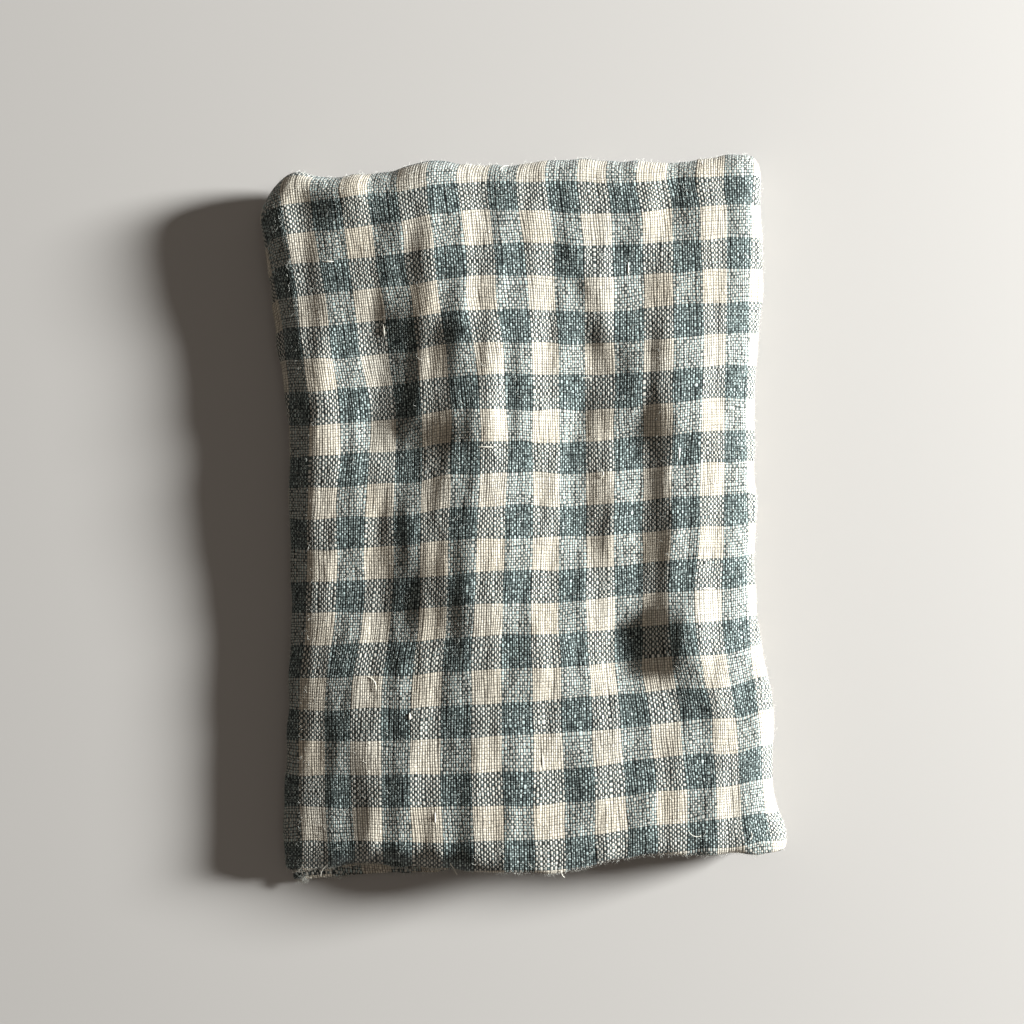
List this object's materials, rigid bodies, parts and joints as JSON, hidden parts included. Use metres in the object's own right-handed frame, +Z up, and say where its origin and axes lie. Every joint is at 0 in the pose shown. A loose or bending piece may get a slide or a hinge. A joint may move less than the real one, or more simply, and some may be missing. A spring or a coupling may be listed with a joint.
{
  "type": "folded linen bread bag",
  "caption": "Open-mouthed checked linen bag with a hemmed mouth, its sides turned in and halved crosswise into a flat soft packet that lies on its back.",
  "frame": {"origin": "under the middle of the packet's outline, on the surface that it rests on", "axes": "+X across the packet, +Y along it towards the crosswise fold, +Z up from the surface"},
  "size_m": [0.1666, 0.2316, 0.0232],
  "materials": {
    "linen": "matt washed plain-weave linen in a dark green and natural gingham check"
  },
  "bodies": {
    "root": {"bag": "linen"}
  },
  "joints": []
}
